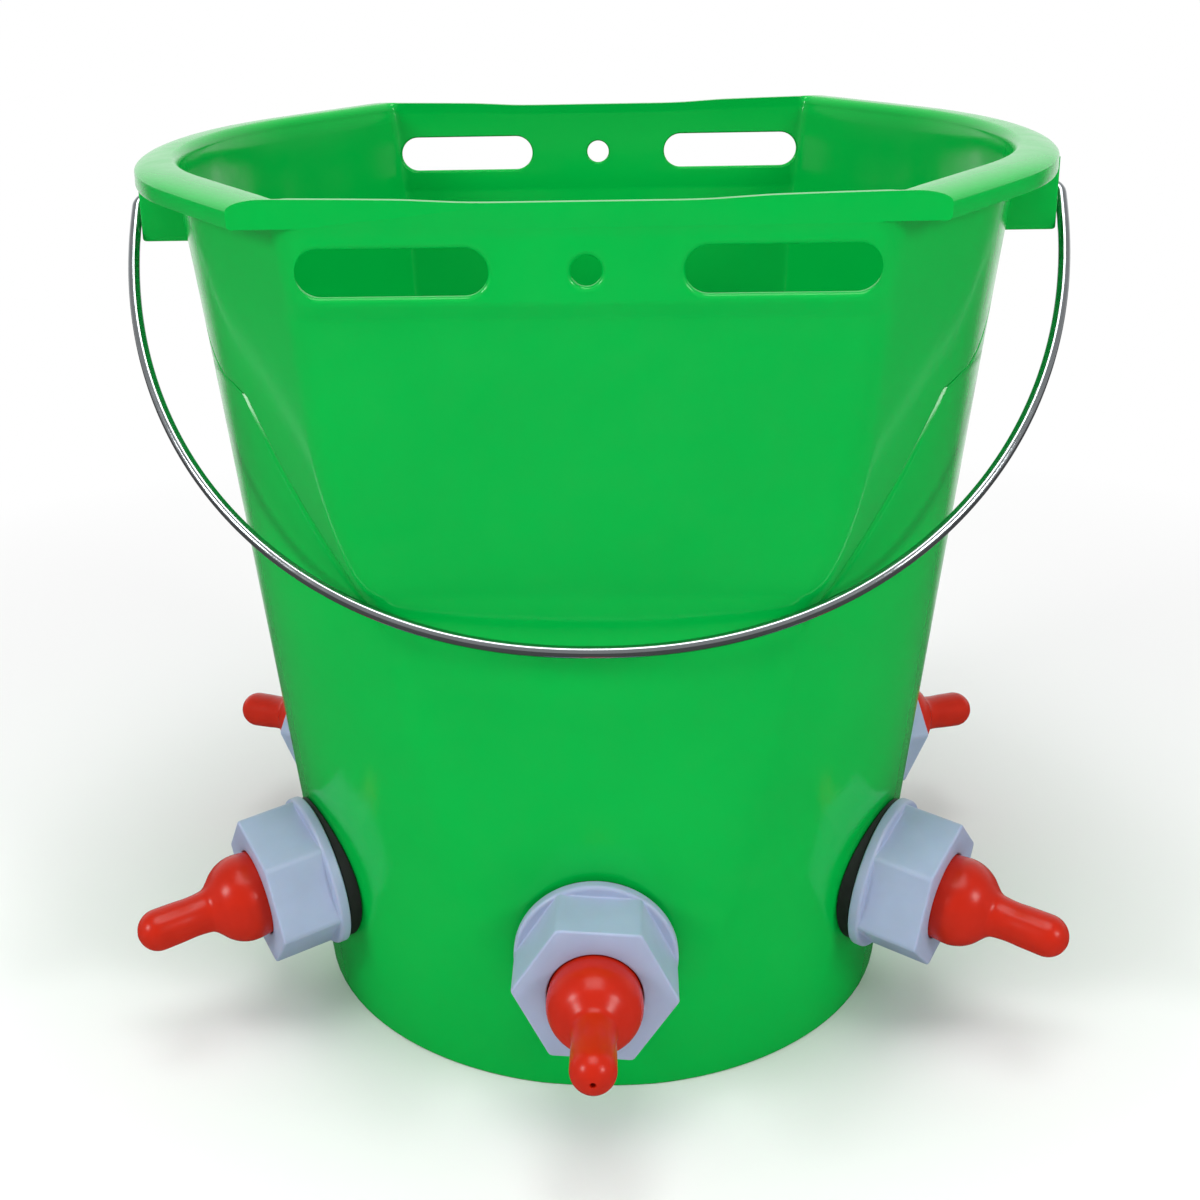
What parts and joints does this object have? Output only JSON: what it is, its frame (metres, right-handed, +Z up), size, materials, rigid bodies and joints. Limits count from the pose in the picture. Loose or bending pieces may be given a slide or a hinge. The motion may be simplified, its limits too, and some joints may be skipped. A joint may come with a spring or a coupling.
{
  "type": "multi-teat feeding bucket",
  "caption": "Plastic feeding bucket for lambs with a slotted hanging rim, a swinging wire bail and screwed rubber teats round its base, each with a non-return ball valve",
  "frame": {"origin": "centre of the bucket's base, on the ground", "axes": "+Z up; -Y is the front, the slotted panel that the bail rests against; -X and +X are the bail's ears"},
  "size_m": [0.2926, 0.3244, 0.2791],
  "materials": {
    "bucket_plastic": "glossy moulded green polypropylene",
    "zinc_wire": "bright zinc-plated round wire",
    "fitting_plastic": "satin blue-grey polypropylene",
    "red_rubber": "smooth red teat rubber",
    "black_rubber": "matt black washer rubber",
    "white_plastic": "smooth white acetal"
  },
  "bodies": {
    "bucket": {"bucket_shell": "bucket_plastic", "valve_body_front": "fitting_plastic", "wall_seal_front": "black_rubber", "cap_nut_front": "fitting_plastic", "teat_front": "red_rubber", "ball_retainer_front": "white_plastic", "valve_body_front_right": "fitting_plastic", "wall_seal_front_right": "black_rubber", "cap_nut_front_right": "fitting_plastic", "teat_front_right": "red_rubber", "ball_retainer_front_right": "white_plastic", "valve_body_rear_right": "fitting_plastic", "wall_seal_rear_right": "black_rubber", "cap_nut_rear_right": "fitting_plastic", "teat_rear_right": "red_rubber", "ball_retainer_rear_right": "white_plastic", "valve_body_rear": "fitting_plastic", "wall_seal_rear": "black_rubber", "cap_nut_rear": "fitting_plastic", "teat_rear": "red_rubber", "ball_retainer_rear": "white_plastic", "valve_body_rear_left": "fitting_plastic", "wall_seal_rear_left": "black_rubber", "cap_nut_rear_left": "fitting_plastic", "teat_rear_left": "red_rubber", "ball_retainer_rear_left": "white_plastic", "valve_body_front_left": "fitting_plastic", "wall_seal_front_left": "black_rubber", "cap_nut_front_left": "fitting_plastic", "teat_front_left": "red_rubber", "ball_retainer_front_left": "white_plastic"},
    "bail": {"bail_handle": "zinc_wire"},
    "ball_front": {"valve_ball_front": "white_plastic"},
    "ball_front_right": {"valve_ball_front_right": "white_plastic"},
    "ball_rear_right": {"valve_ball_rear_right": "white_plastic"},
    "ball_rear": {"valve_ball_rear": "white_plastic"},
    "ball_rear_left": {"valve_ball_rear_left": "white_plastic"},
    "ball_front_left": {"valve_ball_front_left": "white_plastic"}
  },
  "joints": [
    {"name": "bail_swing", "type": "hinge", "parent": "bucket", "child": "bail", "pos_m": [0, 0, 0.2625], "axis": [-1, 0, 0], "range_deg": [0, 269.5]},
    {"name": "ball_lift_front", "type": "slide", "parent": "bucket", "child": "ball_front", "axis": [0, -1, -0.0087], "range_m": [-0.003, 0]},
    {"name": "ball_lift_front_right", "type": "slide", "parent": "bucket", "child": "ball_front_right", "axis": [0.8605, -0.4968, -0.1123], "range_m": [-0.003, 0]},
    {"name": "ball_lift_rear_right", "type": "slide", "parent": "bucket", "child": "ball_rear_right", "axis": [0.8605, 0.4968, -0.1123], "range_m": [-0.003, 0]},
    {"name": "ball_lift_rear", "type": "slide", "parent": "bucket", "child": "ball_rear", "axis": [0, 1, -0.0087], "range_m": [-0.003, 0]},
    {"name": "ball_lift_rear_left", "type": "slide", "parent": "bucket", "child": "ball_rear_left", "axis": [-0.8605, 0.4968, -0.1123], "range_m": [-0.003, 0]},
    {"name": "ball_lift_front_left", "type": "slide", "parent": "bucket", "child": "ball_front_left", "axis": [-0.8605, -0.4968, -0.1123], "range_m": [-0.003, 0]}
  ]
}
